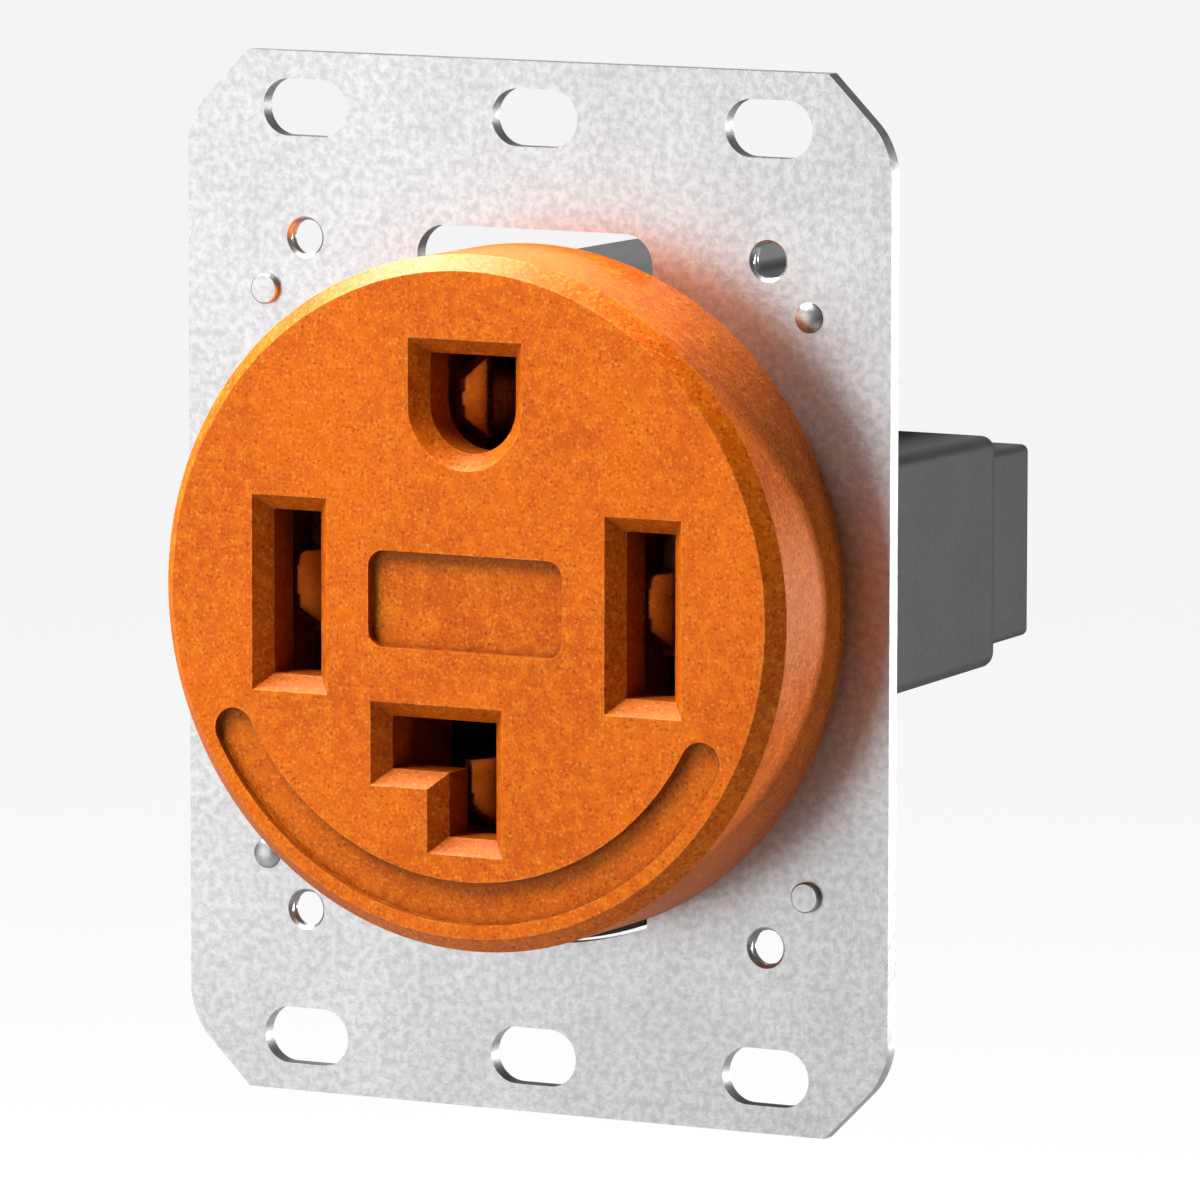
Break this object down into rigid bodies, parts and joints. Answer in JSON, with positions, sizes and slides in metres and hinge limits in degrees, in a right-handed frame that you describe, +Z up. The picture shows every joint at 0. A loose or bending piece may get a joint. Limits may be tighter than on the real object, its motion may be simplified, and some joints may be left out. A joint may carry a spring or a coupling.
{
  "type": "straight blade receptacle",
  "caption": "Flush-mounted receptacle for a straight blade plug: round slotted face, stamped mounting strap and a cross-shaped rear housing with clamp terminals and rear wire entries.",
  "frame": {"origin": "centre of the mounting strap's rear face, on the axis of the round face", "axes": "+Z up along the strap, +X to the right as the user faces it, -Y out of the plug face"},
  "size_m": [0.0698, 0.0666, 0.0932],
  "materials": {
    "orange_thermoset": "mottled orange thermoset, slightly glossy",
    "galvanised_steel": "galvanised sheet steel, pale grey",
    "grey_moulding": "dark grey filled nylon, fine grain",
    "plated_steel": "zinc plated steel",
    "spring_steel": "bright spring steel",
    "brass": "plain brass",
    "contact_brass": "rolled brass strip",
    "green_screw": "green passivated steel"
  },
  "bodies": {
    "root": {"front_body": "orange_thermoset", "mounting_strap": "galvanised_steel", "rear_body": "grey_moulding", "rear_cover": "grey_moulding", "assembly_screws": "plated_steel", "threaded_inserts": "brass", "cover_screw": "plated_steel", "line_x_contact": "contact_brass", "line_x_jaw_spring": "spring_steel", "line_x_lug": "brass", "line_x_pressure_plate": "plated_steel", "line_x_terminal_screw": "brass", "line_y_contact": "contact_brass", "line_y_jaw_spring": "spring_steel", "line_y_lug": "brass", "line_y_pressure_plate": "plated_steel", "line_y_terminal_screw": "brass", "ground_contact": "contact_brass", "ground_jaw_spring": "spring_steel", "ground_lug": "brass", "ground_pressure_plate": "plated_steel", "ground_terminal_screw": "green_screw", "neutral_contact": "contact_brass", "neutral_jaw_spring": "spring_steel", "neutral_lug": "brass", "neutral_pressure_plate": "plated_steel", "neutral_terminal_screw": "plated_steel"}
  },
  "joints": []
}
